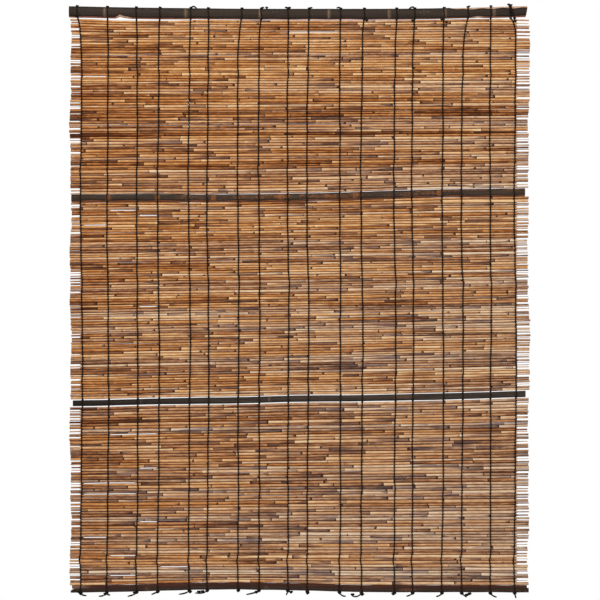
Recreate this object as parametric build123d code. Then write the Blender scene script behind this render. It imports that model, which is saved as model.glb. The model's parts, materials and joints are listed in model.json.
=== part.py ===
from build123d import *
import math
import os
import random

# Reed roll up blind, in millimetres. It hangs down along -Z, its front faces -Y, and X runs along the reeds.
# The origin is the middle of the top batten, level with the middle of the reeds' thickness.

blind_width = 880.0

# Reeds, panel by panel from the top
reed_counts = (67, 79, 63)
panel_pitches = (4.93, 4.68, 5.50)
strip_counts = (5, 7, 8)
reed_thickness = 4.6
reed_slant = 1.5
reed_bite = 0.48
left_unevenness = 3.5
right_unevenness = 5.0

# Clearance where one strip turns against the next, and how far the roll turns at any one gap
turning_gap = 0.5
largest_turn = 64.0

# Battens, each a lath split from a round culm
top_height = 21.0
top_culm_radius = 18.0
top_culm_wall = 4.0
second_height = 16.0
third_height = 14.5
middle_culm_radius = 14.0
middle_culm_wall = 3.6
bottom_height = 9.0
bottom_culm_radius = 11.0
bottom_culm_wall = 3.2
lath_edge_front = 1.6
node_width = 2.4
node_rise = 0.5

# Room left between each lath's ends and the blind's full width, left and right
top_insets = (0.0, 6.5)
second_insets = (4.5, 11.5)
third_insets = (7.5, 10.5)
edge_insets = (6.0, 8.0)
bottom_insets = (3.5, 4.5)

# Rise of each batten from left to right, as a share of its length: the reeds are thicker at one end
batten_slopes = (0.0, 0.011, 0.021, 0.0)

# Nodes along each lath, and the chips in the top one's lower edge, as shares of its length
top_nodes = (0.074, 0.252, 0.403, 0.565, 0.824, 0.934)
second_nodes = (0.087, 0.185, 0.316, 0.465, 0.626, 0.814)
third_nodes = (0.151, 0.434)
bottom_nodes = (0.166, 0.427, 0.734)
top_chips = (0.100, 0.875)
chip_length = 30.0
chip_depth = 2.3
end_slant = 3.5
blunt_length = 8.0

# Thin lath above the bottom batten
edge_lath_height = 4.4
edge_lath_thickness = 2.6
edge_lath_round = 0.9
edge_lath_gap = 0.8

# Cords, one strand in front and one behind, at shares of the width
cord_shares = (
    0.0278, 0.0848, 0.1484, 0.1943, 0.2610, 0.3013, 0.3668, 0.4122, 0.4747,
    0.5173, 0.5873, 0.6342, 0.7057, 0.7442, 0.8093, 0.8514, 0.9126, 0.9660,
)
cord_width = 2.2
cord_thickness = 1.3
cord_end_gap = 0.15
knot_height = 2.4
knot_length = 3.4

# Openings where neighbouring reeds stand apart: panel, reeds above it, first bay and last bay.
# Bay 0 is the free ends at the left, and bay 1 lies between the first two cords.
open_height = 0.9
openings = (
    (0, 5, 9, 10), (0, 18, 0, 0), (0, 22, 0, 1), (0, 32, 0, 0), (0, 39, 0, 0), (0, 44, 0, 0),
    (1, 3, 2, 2), (1, 5, 3, 3), (1, 9, 1, 1), (1, 42, 3, 3),
    (2, 10, 2, 3), (2, 22, 3, 3), (2, 27, 1, 2), (2, 31, 1, 2), (2, 41, 3, 3), (2, 46, 1, 1),
    (2, 53, 2, 2), (2, 57, 4, 4), (2, 60, 2, 2),
)

half_width = blind_width / 2
reed_front = reed_thickness / 2
cord_places = [blind_width * share - half_width for share in cord_shares]
bottom_room = edge_lath_height + edge_lath_gap + bottom_height
batten_rooms = (top_height, second_height, third_height, bottom_room)
ends = random.Random(11)


def save(shape, node):
    """Writes one piece to its own file, under its node's name."""
    export_step(shape, f"parts/{node}.step")


def batten_top(index):
    """Height of the gap above a batten, at the blind's middle."""
    if index == 0:
        return top_height / 2 + turning_gap / 2
    above = batten_top(index - 1) - batten_rooms[index - 1] - turning_gap
    return above - reed_counts[index - 1] * panel_pitches[index - 1]


def panel_top(panel):
    """Height of the gap above a panel's first reed, at the blind's middle."""
    return batten_top(panel) - batten_rooms[panel] - turning_gap


def slope_below(panel, reeds):
    """Slope of the line under a number of a panel's reeds, blended from the battens at its two edges."""
    share = reeds / reed_counts[panel]
    return batten_slopes[panel] * (1 - share) + batten_slopes[panel + 1] * share


def reeds_by_strip(panel):
    """Reeds in each of a panel's strips, with the larger strips at the top."""
    base, extra = divmod(reed_counts[panel], strip_counts[panel])
    return [base + 1] * extra + [base] * (strip_counts[panel] - extra)


def tilted(shape, slope):
    """Turns a piece about the blind's middle so that it rises to the right by a slope."""
    return Rot(0, -math.degrees(math.atan(slope)), 0) * shape


def reed(panel, number, upper_edge, lower_edge):
    """One reed, flat in front and ridged behind, that bites into its neighbours or ends at a turning gap."""
    pitch = panel_pitches[panel]
    flat = pitch / 2 - reed_slant
    upper = pitch / 2 - turning_gap / 2 if upper_edge else pitch / 2 + reed_bite
    lower = pitch / 2 - turning_gap / 2 if lower_edge else pitch / 2 + reed_bite
    section = Polygon(
        (0, upper), (-reed_front, flat), (-reed_front, -flat), (0, -lower), (reed_front, 0),
        align=None,
    )
    left = ends.uniform(0, left_unevenness) - half_width
    right = half_width - ends.uniform(0, right_unevenness)
    stem = extrude(Plane.YZ.offset(left) * section, right - left)
    middle = panel_top(panel) - (number + 0.5) * pitch
    return Pos(0, 0, middle) * tilted(stem, slope_below(panel, number + 0.5))


def opening_cutter(panel, above, first_bay, last_bay):
    """A thin box along the groove under some reeds, from one cord to another, where daylight shows through."""
    start = cord_places[first_bay - 1] + cord_width if first_bay else -blind_width
    stop = cord_places[last_bay] - cord_width
    groove = panel_top(panel) - above * panel_pitches[panel]
    box = Pos((start + stop) / 2, 0, 0) * Box(stop - start, 2 * reed_thickness, open_height)
    return Pos(0, 0, groove) * tilted(box, slope_below(panel, above))


def reed_strip(panel, first, last):
    """The reeds from first up to last, as one ridged wall with its openings."""
    reeds = []
    for number in range(first, last):
        reeds.append(reed(panel, number, number == first, number == last - 1))
    strip = reeds[0].fuse(*reeds[1:])
    inside = [row for row in openings if row[0] == panel and first < row[1] < last]
    cutters = [opening_cutter(*row) for row in inside]
    return strip.cut(*cutters) if cutters else strip


def strand(place, top, bottom, base, side):
    """One plain strand down the blind: a ridge on a face at depth base, in front (-1) or behind (1)."""
    section = Polygon(
        (place - cord_width / 2, base),
        (place, base + side * cord_thickness),
        (place + cord_width / 2, base),
        align=None,
    )
    return extrude(Plane.XY.offset(bottom) * section, top - bottom, dir=(0, 0, 1))


def cord_group(top, bottom, top_slope, bottom_slope, front, turns_above=True, turns_below=True):
    """The strands of every cord between two gaps. Those behind stop short where the blind turns."""
    turning_room = (reed_front + cord_thickness) * math.tan(math.radians(largest_turn / 2)) + cord_end_gap
    room_above = turning_room if turns_above else cord_end_gap
    room_below = turning_room if turns_below else cord_end_gap
    strands = []
    for place in cord_places:
        upper = top + top_slope * place
        lower = bottom + bottom_slope * place
        strands.append(strand(place, upper - cord_end_gap, lower + cord_end_gap, -front, -1))
        strands.append(strand(place, upper - room_above, lower + room_below, reed_front, 1))
    return strands


def lath_front(height, radius):
    """How far a lath's crest stands in front of the reeds' middle, with its edges at lath_edge_front."""
    return lath_edge_front + radius - math.sqrt(radius**2 - (height / 2) ** 2)


def culm_sector(height, radius, wall, rise=0.0):
    """Section of a lath split from a culm: an arc of its wall, cut towards the culm's centre."""
    half = math.asin(height / 2 / radius)
    centre = Vector(radius - lath_front(height, radius), 0)
    upper = Vector(-math.cos(half), math.sin(half))
    lower = Vector(-math.cos(half), -math.sin(half))
    crest = Vector(-1, 0)
    outer = radius + rise
    inner = radius - wall
    edge = [
        ThreePointArc(centre + upper * outer, centre + crest * outer, centre + lower * outer),
        Line(centre + lower * outer, centre + lower * inner),
        ThreePointArc(centre + lower * inner, centre + crest * inner, centre + upper * inner),
        Line(centre + upper * inner, centre + upper * outer),
    ]
    return make_face(edge)


def lath(insets, height, radius, wall, nodes):
    """A split lath across the blind, with a raised ring at each of its nodes."""
    left = insets[0] - half_width
    length = blind_width - sum(insets)
    body = extrude(Plane.YZ.offset(left) * culm_sector(height, radius, wall), length)
    ring = culm_sector(height, radius, wall / 2, node_rise)
    rings = []
    for share in nodes:
        start = left + share * length - node_width / 2
        rings.append(extrude(Plane.YZ.offset(start) * ring, node_width))
    return body.fuse(*rings)


def cut_through(outline):
    """A cutter with an outline in the front view, deep enough for any lath."""
    return extrude(Plane.XZ * outline, 2 * top_culm_radius, both=True)


def top_batten():
    """The top batten, chipped along its lower edge and cut slanting at its right end."""
    half = top_height / 2
    body = lath(top_insets, top_height, top_culm_radius, top_culm_wall, top_nodes)
    left = top_insets[0] - half_width
    right = half_width - top_insets[1]
    for share in top_chips:
        start = left + share * (right - left)
        peak = start + chip_length / 3
        chip = Polygon(
            (start, -half - node_rise), (peak, chip_depth - half), (start + chip_length, -half - node_rise),
            align=None,
        )
        body -= cut_through(chip)
    slant = Polygon(
        (right, half), (right, -half - node_rise), (right - end_slant, -half - node_rise),
        align=None,
    )
    return body - cut_through(slant)


def bottom_batten():
    """The bottom batten, with its left end split to a blunt point."""
    half = bottom_height / 2
    body = lath(bottom_insets, bottom_height, bottom_culm_radius, bottom_culm_wall, bottom_nodes)
    left = bottom_insets[0] - half_width
    split = Polygon(
        (left, 0), (left, half + node_rise), (left + blunt_length, half + node_rise),
        align=None,
    )
    return Pos(0, 0, half - bottom_room / 2) * (body - cut_through(split))


def edge_lath():
    """The thin lath above the bottom batten, with its front edges rounded."""
    body = Box(blind_width - sum(edge_insets), edge_lath_thickness, edge_lath_height)
    front = body.faces().sort_by(Axis.Y)[0]
    body = fillet(front.edges().filter_by(Axis.X), edge_lath_round)
    shift = (edge_insets[0] - edge_insets[1]) / 2
    return Pos(shift, 0, bottom_room / 2 - edge_lath_height / 2) * body


def hung(shape, index):
    """Moves a piece from the middle of a batten's room to the batten's place and slope."""
    middle = batten_top(index) - turning_gap / 2 - batten_rooms[index] / 2
    return Pos(0, 0, middle) * tilted(shape, batten_slopes[index])


def knots(height, front, side):
    """A plain knot on each cord, that joins its strands above (1) or below (-1) the blind."""
    section = Polygon(
        (-front - cord_thickness, 0), (reed_front + cord_thickness, 0),
        (reed_front / 2, side * knot_height), (-front / 2, side * knot_height),
        align=None,
    )
    knot = extrude(Plane.YZ * section, knot_length / 2, both=True)
    return [Pos(place, 0, height) * knot for place in cord_places]


def batten_cords(index, front):
    """The strands that cross one batten, with the knots that end them at the top and bottom battens."""
    top = batten_top(index)
    bottom = top - batten_rooms[index] - turning_gap
    slope = batten_slopes[index]
    pieces = cord_group(top, bottom, slope, slope, front, turns_above=index > 0, turns_below=index < 3)
    if index == 0:
        pieces += knots(top - cord_end_gap, front, 1)
    if index == 3:
        pieces += knots(bottom + cord_end_gap, front, -1)
    return Compound(children=pieces)


os.makedirs("parts", exist_ok=True)

second_batten = lath(second_insets, second_height, middle_culm_radius, middle_culm_wall, second_nodes)
third_batten = lath(third_insets, third_height, middle_culm_radius, middle_culm_wall, third_nodes)
save(top_batten(), "top_batten")
save(hung(second_batten, 1), "second_batten")
save(hung(third_batten, 2), "third_batten")
save(hung(edge_lath(), 3), "edge_lath")
save(hung(bottom_batten(), 3), "bottom_batten")

save(batten_cords(0, lath_front(top_height, top_culm_radius)), "top_batten_cords")
save(batten_cords(1, lath_front(second_height, middle_culm_radius)), "second_batten_cords")
save(batten_cords(2, lath_front(third_height, middle_culm_radius)), "third_batten_cords")
save(batten_cords(3, lath_front(bottom_height, bottom_culm_radius)), "bottom_batten_cords")

strip = 0
for panel in range(3):
    first = 0
    for count in reeds_by_strip(panel):
        strip += 1
        last = first + count
        save(reed_strip(panel, first, last), f"reeds_{strip:02d}")
        top = panel_top(panel) - first * panel_pitches[panel]
        bottom = panel_top(panel) - last * panel_pitches[panel]
        slopes = (slope_below(panel, first), slope_below(panel, last))
        save(Compound(children=cord_group(top, bottom, *slopes, reed_front)), f"cords_{strip:02d}")
        first = last
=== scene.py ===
import bpy
import json
import math
import numpy as np
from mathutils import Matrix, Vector

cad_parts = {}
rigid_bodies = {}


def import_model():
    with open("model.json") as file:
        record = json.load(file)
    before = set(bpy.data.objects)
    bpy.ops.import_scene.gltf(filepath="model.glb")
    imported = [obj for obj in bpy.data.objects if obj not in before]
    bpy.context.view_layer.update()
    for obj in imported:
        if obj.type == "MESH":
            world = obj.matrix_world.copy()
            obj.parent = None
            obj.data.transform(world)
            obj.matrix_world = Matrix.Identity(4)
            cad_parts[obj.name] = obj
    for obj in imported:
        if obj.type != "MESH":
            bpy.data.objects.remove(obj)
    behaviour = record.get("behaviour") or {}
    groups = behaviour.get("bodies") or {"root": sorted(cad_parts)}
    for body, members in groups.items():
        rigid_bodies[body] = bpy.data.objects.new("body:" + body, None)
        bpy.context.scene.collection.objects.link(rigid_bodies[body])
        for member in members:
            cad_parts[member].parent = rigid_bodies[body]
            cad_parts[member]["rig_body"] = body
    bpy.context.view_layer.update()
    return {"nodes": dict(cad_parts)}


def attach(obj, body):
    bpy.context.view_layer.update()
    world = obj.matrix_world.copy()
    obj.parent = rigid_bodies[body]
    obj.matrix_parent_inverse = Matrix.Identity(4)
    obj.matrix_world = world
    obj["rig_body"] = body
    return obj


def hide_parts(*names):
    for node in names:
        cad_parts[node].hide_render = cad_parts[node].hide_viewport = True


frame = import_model()
print("frame loaded")

# The blind as it is built, in millimetres. Panels and battens are listed from the top
blind = {
    "width": 880.0,
    "reedCounts": (67, 79, 63),
    "pitches": (4.93, 4.68, 5.50),
    "strips": (5, 7, 8),                # strips of reeds that move as one, in each panel
    "rooms": (21.0, 16.0, 14.5, 14.2),  # heights left for the battens
    "gap": 0.5,                         # shared by the two edges of a batten
    "slopes": (0.0, 0.011, 0.021, 0.0),
    "fronts": (4.98, 4.11, 3.63, 2.56),     # how far each batten's face stands before the reeds' middle
    # Places along the width and how far the reeds and battens there stand above their straight lines
    "bows": (
        ((-440, -350, -260, -110, 150, 260, 360, 440), (2.6, 0.3, -1.0, -2.6, -2.8, -1.8, 1.4, 3.8)),
        ((-440, -300, -220, -100, 50, 120, 210, 270, 440), (0.4, 0.2, -1.4, -2.2, -1.4, 0.0, 2.0, 3.2, 3.2)),
        ((-440, -380, -290, -180, -110, -20, 40, 100, 230, 330, 440),
         (0.6, -0.4, 0.7, 0.2, -1.0, 0.4, 0.0, -1.6, -1.6, -1.2, 0.4)),
        ((-440, -330, -280, -240, -160, -65, -20, 45, 90, 440),
         (-1.5, 0.2, 2.1, 3.4, 4.8, 4.3, 3.6, 2.0, -0.3, -0.7)),
    ),
    "bowReach": 26.0,
    # How far the first reeds sag away from the top batten, along the width, and how deep this reaches
    "sag": ((-440, -385, -345, -290, -225, -200, 230, 320, 385, 425, 440),
            (2.4, 2.6, 4.2, 3.2, 2.5, 0.2, 0.3, 0.7, 2.6, 5.0, 5.4)),
    "sagReach": 26.0,
    # How steeply the backs slope away from each groove where the blind bends
    "lean": 0.58,
}
half = blind["width"] / 2
rng = np.random.default_rng(7)


def smooth(t):
    # S curve from 0 to 1
    t = np.clip(t, 0, 1)
    return t * t * (3 - 2 * t)


def srgb(r, g, b):
    # Screen colour, 0 to 255, as linear light with alpha
    c = np.array((r, g, b)) / 255
    return (*np.where(c < 0.04045, c / 12.92, ((c + 0.055) / 1.055) ** 2.4), 1.0)


# Rows from the top: a batten, then a panel of reeds, and so on. Groove g is the line above row g
grooveBase, grooveSlope, firstRow = [blind["rooms"][0] / 2 + blind["gap"] / 2], [0.0], []
for index, room in enumerate(blind["rooms"]):
    grooveBase.append(grooveBase[-1] - room - blind["gap"])
    grooveSlope[-1] = blind["slopes"][index]
    grooveSlope.append(blind["slopes"][index])
    if index < len(blind["reedCounts"]):
        count = blind["reedCounts"][index]
        steps = np.arange(1, count + 1)
        firstRow.append(len(grooveBase) - 1)
        grooveBase.extend(grooveBase[-1] - steps * blind["pitches"][index])
        low, high = blind["slopes"][index], blind["slopes"][index + 1]
        grooveSlope.extend(low + (high - low) * steps / count)
grooveBase, grooveSlope = np.array(grooveBase), np.array(grooveSlope)
rowCount = len(grooveBase) - 1
battenRows = [0, firstRow[1] - 1, firstRow[2] - 1, rowCount - 1]
battenMiddle = np.array([(grooveBase[row] + grooveBase[row + 1]) / 2 for row in battenRows])
isReed = np.ones(rowCount, bool)
isReed[battenRows] = False

# First row of each strip of reeds, and the row after its last
stripRows = []
for panel, strips in enumerate(blind["strips"]):
    base, extra = divmod(blind["reedCounts"][panel], strips)
    start = firstRow[panel]
    for n in [base + 1] * extra + [base] * (strips - extra):
        stripRows.append((start, start + n))
        start += n
stripStarts = [start for start, stop in stripRows]
stripStops = [stop for start, stop in stripRows]

# How each groove strays from its straight line: a tilt, as one end of a reed is thicker, and slow waves
stray = {
    "tilt": 0.6,
    "shift": 0.48,
    "waveSizes": (0.34, 0.25, 0.16, 0.11),
    "waveLengths": (610.0, 330.0, 170.0, 95.0),
    "atJoints": 0.4,    # the joints of the roll lie between strips, where the grooves stray less
}
freeGroove = np.zeros(rowCount + 1)
freeGroove[1:-1] = isReed[1:] * isReed[:-1]
freeGroove[stripStarts] *= stray["atJoints"]
grooveTilt = rng.normal(0, stray["tilt"], rowCount + 1) * freeGroove
grooveShift = rng.normal(0, stray["shift"], rowCount + 1) * freeGroove
waveSize = rng.normal(0, 1, (rowCount + 1, 4)) * stray["waveSizes"] * freeGroove[:, None]
wavePhase = rng.uniform(0, 2 * np.pi, (rowCount + 1, 4))


def bow(g, x):
    # Each batten's own bow, smoothed along it and fading from one reed to the next, less the sag at the top
    total = 0.0
    for (places, lifts), middle, room in zip(blind["bows"], battenMiddle, blind["rooms"]):
        away = np.maximum(np.abs(grooveBase[g] - middle) - room / 2 - blind["gap"], 0)
        lift = sum(np.interp(x + step, places, lifts) for step in (-36, -12, 12, 36)) / 4
        total = total + lift * np.exp(-away / blind["bowReach"])
    sag = sum(np.interp(x + step, *blind["sag"]) for step in (-12, 0, 12)) / 3
    return total - sag * (np.asarray(g) > 0) * np.exp(-(grooveBase[1] - grooveBase[g]) / blind["sagReach"])


cord = {
    "places": (
        -415.5, -365.4, -309.4, -269.0, -210.3, -174.9, -117.2, -77.3, -22.3,
        15.2, 76.8, 118.1, 181.0, 214.9, 272.2, 309.2, 363.1, 410.1,
    ),
    "strand": 1.2,      # radius
    "side": 0.8,        # how far each strand stands aside where the two cross
    "sides": 5,
    "reedRings": 4,
    "battenRings": 10,
    # How the whole row of cords drifts sideways on its way down: heights and shifts
    "drift": ((-1110, -1053, -880, -594, -410, -200, 0), (-1.5, -1.3, -0.2, 1.2, -1.6, -1.0, 0.0)),
    # How far each cord starts aside of its own place at the top batten, and how soon it is back in place
    "kinks": (-9.0, -0.8, -1.5, 2.5, 2.0, 0.5, 6.7, 4.0, -0.3, 1.8, 1.0, 4.0, 2.5, 3.0, 2.5, 10.9, 1.0,
              -10.7),
    "kinkReach": (28.0,) * 17 + (12.0,),
    "kinkBelow": 8.0,
    # Where the whole row of cords jogs aside: height, shift and reach
    "jogs": (
        (-1042, -1.9, 9), (-905, 1.0, 8), (-700, -0.9, 9), (-515, 1.1, 12), (-300, -1.0, 10), (-118, 1.0, 9),
    ),
    "wander": ((95, 0.7), (37, 0.35), (13, 0.35)),      # each cord's own waves: length and size
}
cordPlaces = np.array(cord["places"])

openings = {
    # Where daylight shows: panel, reeds above, first and last bay, counted from the free ends at the left
    "places": (
        (0, 5, 9, 10), (0, 18, 0, 0), (0, 22, 0, 1), (0, 32, 0, 0), (0, 39, 0, 0), (0, 44, 0, 0),
        (1, 3, 2, 2), (1, 5, 3, 3), (1, 9, 1, 1), (1, 42, 3, 3),
        (2, 10, 2, 3), (2, 22, 3, 3), (2, 27, 1, 2), (2, 31, 1, 2), (2, 41, 3, 3), (2, 46, 1, 1),
        (2, 53, 2, 2), (2, 57, 4, 4), (2, 60, 2, 2),
    ),
    "height": 1.4,
    "fade": 5.0,
    "fromCord": 1.5,
    "passedOn": (0.3, 0.12),    # share of an opening that pushes the next grooves apart too
}
opened = []
for panel, above, firstBay, lastBay in openings["places"]:
    left = cordPlaces[firstBay - 1] + openings["fromCord"] if firstBay else -half - 30
    opened.append((firstRow[panel] + above, left, cordPlaces[lastBay] - openings["fromCord"]))


def daylight(x, left, right):
    # Height of an opening, rising as an S curve from both of its ends
    return openings["height"] * smooth(np.minimum(x - left, right - x) / openings["fade"])


def grooveHeight(g, x):
    # Straight line plus bow, tilt and waves, pushed up above an opening and down below it
    z = grooveBase[g] + grooveShift[g] + grooveSlope[g] * x + grooveTilt[g] * x / half + bow(g, x)
    for k, length in enumerate(stray["waveLengths"]):
        z = z + waveSize[g, k] * np.sin(2 * np.pi * x / length + wavePhase[g, k])
    for groove, left, right in opened:
        push = daylight(x, left, right)
        for away, share in enumerate(openings["passedOn"], 1):
            z = z + push * share * ((g == groove - away) * 1.0 - (g == groove + away) * 1.0)
    return z


# Gaps between the free ends of the reeds, past the first and the last cord. The widest ones are given panel
# by panel, as the reeds above each
fringes = {
    "left": {
        "share": 0.55, "mean": 1.5, "most": 3.4,
        "wide": ((4, 6, 26, 46, 66), (1, 28, 36, 65, 73), (4, 9, 11, 29, 31, 35, 40, 42, 48, 56, 59, 61)),
    },
    "right": {
        "share": 0.8, "mean": 2.0, "most": 3.8,
        "wide": ((2, 4, 7, 14, 20, 31, 39, 44, 48, 52, 58, 61), (4, 13, 15, 20, 22, 40, 43, 46, 56, 77),
                 (2, 10, 17, 21, 32, 44, 49, 52, 56, 62)),
    },
    "least": 0.1,
    "lowest": 1.4,      # how much wider they are in the lowest panel
    "fade": 4.0,
}
# Gaps of the reeds that lie next to a batten: they reach a little under its edge
tucks = {"above": (-1.6, -3.6, -1.5), "below": (-1.2, -3.2)}
jointGap = 0.1


def fringeGaps(side):
    # A share of the gaps open by chance, and the widest ones as listed
    size = fringes[side]
    gaps = rng.exponential(size["mean"], rowCount + 1) * (rng.random(rowCount + 1) < size["share"])
    gaps = gaps + fringes["least"]
    gaps[firstRow[2]:] *= fringes["lowest"]
    for panel, rows in enumerate(size["wide"]):
        gaps[firstRow[panel] + np.array(rows)] = size["most"] * rng.uniform(0.75, 1.0, len(rows))
    return np.minimum(gaps, size["most"]) * (freeGroove > 0)


gapLeft, gapRight = fringeGaps("left"), fringeGaps("right")
gapRest = np.zeros(rowCount + 1)
gapRest[stripStarts + stripStops] = jointGap
gapRest[battenRows[1:]] = tucks["above"]
gapRest[[row + 1 for row in battenRows[1:3]]] = tucks["below"]


def grooveGap(g, x):
    # Daylight between two rows: wide at the openings and between the free ends
    gap = gapRest[g] + gapRight[g] * smooth((x - cordPlaces[-1] - 1) / fringes["fade"])
    gap = gap + gapLeft[g] * smooth((cordPlaces[0] - 1 - x) / fringes["fade"])
    for groove, left, right in opened:
        gap = gap + (g == groove) * daylight(x, left, right)
    return gap


def makePiece(name, points, faces, values, material, solid):
    # Points in millimetres, faces as lists of point numbers, values as one number a point. The piece takes
    # the place of one solid and rides on that solid's body
    mesh = bpy.data.meshes.new(name)
    mesh.from_pydata((points * 0.001).tolist(), [], faces)
    mesh.polygons.foreach_set("use_smooth", [True] * len(mesh.polygons))
    for key, value in values.items():
        layer = mesh.attributes.new(key, "FLOAT", "POINT")
        layer.data.foreach_set("value", np.ascontiguousarray(value, np.float32).ravel())
    mesh.materials.append(material)
    mesh.validate()
    piece = bpy.data.objects.new(name, mesh)
    bpy.context.scene.collection.objects.link(piece)
    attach(piece, frame["nodes"][solid]["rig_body"])
    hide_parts(solid)


def tubeFaces(tubes, rings, sides):
    # Quads of closed tubes whose points are stored tube by tube, ring by ring, with a pole at each end
    t, r, s = np.meshgrid(np.arange(tubes), np.arange(rings - 1), np.arange(sides), indexing="ij")
    at = (t * rings + r) * sides
    turn = (s + 1) % sides
    quads = np.stack((at + s, at + turn, at + sides + turn, at + sides + s), -1).reshape(-1, 4)
    t, s = np.meshgrid(np.arange(tubes), np.arange(sides), indexing="ij")
    first, last = t * rings * sides, (t * rings + rings - 1) * sides
    poles = tubes * rings * sides + 2 * t
    turn = (s + 1) % sides
    starts = np.stack((poles, first + turn, first + s), -1).reshape(-1, 3)
    stops = np.stack((poles + 1, last + s, last + turn), -1).reshape(-1, 3)
    return quads.tolist() + starts.tolist() + stops.tolist()


def tubeAlong(paths, radii, sides):
    # Round tubes along paths (tubes, rings, 3) with radii (tubes, rings): each ring is square to its path
    ahead = np.gradient(paths, axis=1)
    ahead /= np.linalg.norm(ahead, axis=-1, keepdims=True)
    across = np.cross(ahead, np.where(np.abs(ahead[..., :1]) < 0.9, (1.0, 0.0, 0.0), (0.0, 1.0, 0.0)))
    across /= np.linalg.norm(across, axis=-1, keepdims=True)
    other = np.cross(ahead, across)
    a = np.arange(sides) * 2 * np.pi / sides
    ring = across[..., None, :] * np.cos(a)[:, None] + other[..., None, :] * np.sin(a)[:, None]
    points = paths[..., None, :] + ring * radii[..., None, None]
    tips = paths[:, (0, -1)] + ahead[:, (0, -1)] * np.array((-0.5, 0.5))[:, None] * radii[:, (0, -1), None]
    return points, tips


# Materials

def node(tree, kind, inputs=None, **settings):
    # One shader node, with its settings and with each input linked or set
    made = tree.nodes.new(kind)
    for key, value in settings.items():
        setattr(made, key, value)
    for key, value in (inputs or {}).items():
        if isinstance(value, bpy.types.NodeSocket):
            tree.links.new(value, made.inputs[key])
        else:
            made.inputs[key].default_value = value
    return made


def attribute(tree, name):
    return node(tree, "ShaderNodeAttribute", attribute_name=name).outputs["Fac"]


def calculate(tree, operation, a, b=0.0, clamp=False):
    return node(tree, "ShaderNodeMath", {0: a, 1: b}, operation=operation, use_clamp=clamp).outputs[0]


def plus(tree, a, b, clamp=False):
    return calculate(tree, "ADD", a, b, clamp)


def minus(tree, a, b):
    return calculate(tree, "SUBTRACT", a, b)


def times(tree, a, b):
    return calculate(tree, "MULTIPLY", a, b)


def over(tree, a, b):
    return calculate(tree, "DIVIDE", a, b)


def positive(tree, a):
    return calculate(tree, "ABSOLUTE", a)


def mixed(tree, fac, a, b, blend="MIX"):
    # Inputs 6 and 7 and output 2 of a Mix node are its colours
    made = node(tree, "ShaderNodeMix", {"Factor": fac}, data_type="RGBA", blend_type=blend)
    for socket, value in ((made.inputs[6], a), (made.inputs[7], b)):
        if isinstance(value, bpy.types.NodeSocket):
            tree.links.new(value, socket)
        else:
            socket.default_value = value
    return made.outputs[2]


def ramp(tree, fac, *stops):
    # A colour ramp from (place, value) pairs, where a value is a colour or a grey
    made = node(tree, "ShaderNodeValToRGB", {"Fac": fac})
    while len(made.color_ramp.elements) < len(stops):
        made.color_ramp.elements.new(0.5)
    for element, (place, value) in zip(made.color_ramp.elements, stops):
        element.position = place
        element.color = value if isinstance(value, tuple) else (value, value, value, 1)
    return made.outputs["Color"]


def shades(tree, fac, colours, places):
    return ramp(tree, fac, *zip(places, colours))


def noise(tree, place, scale, location=(0, 0, 0), detail=3.0, roughness=0.6):
    # Noise whose grain is stretched by a scale along each axis, per metre
    mapped = node(tree, "ShaderNodeMapping", {"Vector": place, "Scale": scale, "Location": location})
    inputs = {"Vector": mapped.outputs[0], "Scale": 1.0, "Detail": detail, "Roughness": roughness}
    return node(tree, "ShaderNodeTexNoise", inputs).outputs["Fac"]


def spread(tree, source, amount):
    # A texture's swing about its middle, as much as the amount
    return times(tree, minus(tree, source, 0.5), amount)


def fading(tree, distance, reach):
    # From 1 down towards 0 over a distance
    return calculate(tree, "POWER", 0.37, over(tree, distance, reach))


def newMaterial(name):
    made = bpy.data.materials.new(name)
    made.use_nodes = True
    tree = made.node_tree
    tree.nodes.clear()
    shader = node(tree, "ShaderNodeBsdfPrincipled")
    node(tree, "ShaderNodeOutputMaterial", {"Surface": shader.outputs[0]})
    return made, tree, shader


def finish(tree, shader, colour, shine, relief, depth):
    # Colour, how much light the surface throws back, and a fine relief as deep as depth, in metres
    tree.links.new(colour, shader.inputs["Base Color"])
    shader.inputs["Specular IOR Level"].default_value = shine
    bump = node(tree, "ShaderNodeBump", {"Height": relief, "Strength": 0.5, "Distance": depth})
    tree.links.new(bump.outputs[0], shader.inputs["Normal"])


reedLook = {
    "warm": (srgb(84, 42, 16), srgb(144, 84, 40), srgb(186, 124, 70), srgb(208, 154, 98),
             srgb(230, 192, 144)),
    "cool": (srgb(78, 54, 42), srgb(132, 98, 76), srgb(178, 142, 114), srgb(204, 172, 142),
             srgb(226, 202, 174)),
    "stops": (0.0, 0.25, 0.5, 0.75, 1.0),
    "sheath": (srgb(66, 36, 20), srgb(124, 80, 52), srgb(164, 116, 84)),
    "greySheath": (srgb(62, 50, 50), srgb(114, 94, 90), srgb(160, 138, 130)),
    "sheathStops": (0.1, 0.55, 1.0),
    "dot": srgb(56, 32, 20),
    "cut": srgb(206, 172, 126),
    "groove": (0.40, 0.28, 0.18, 1.0),
    # How fine three patterns are, in grains a metre along each axis
    "streaks": (13, 700, 700),
    "mottle": (85, 330, 330),
    "patches": (26, 300, 300),
    # How much each thing lightens the reed or, below 0, darkens it
    "streakiness": 1.1,
    "mottling": 0.8,
    "fresh": 0.2,           # just past a node
    "freshReach": 14.0,
    # painted highlight: how much the paler line along each reed's upper front lightens it
    "crest": 0.3,
    "leftEnd": 0.6,         # a metre, and left of leftFrom
    "leftFrom": 0.27,
    "right": 0.04,
    # How much greyer a metre further right and a metre further up
    "greyRight": 0.5,
    "greyUp": -0.62,
    "patchiness": 1.6,
    "roughness": (0.42, 0.67),
    "shine": 0.07,
    "relief": 0.0005,
}


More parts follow.
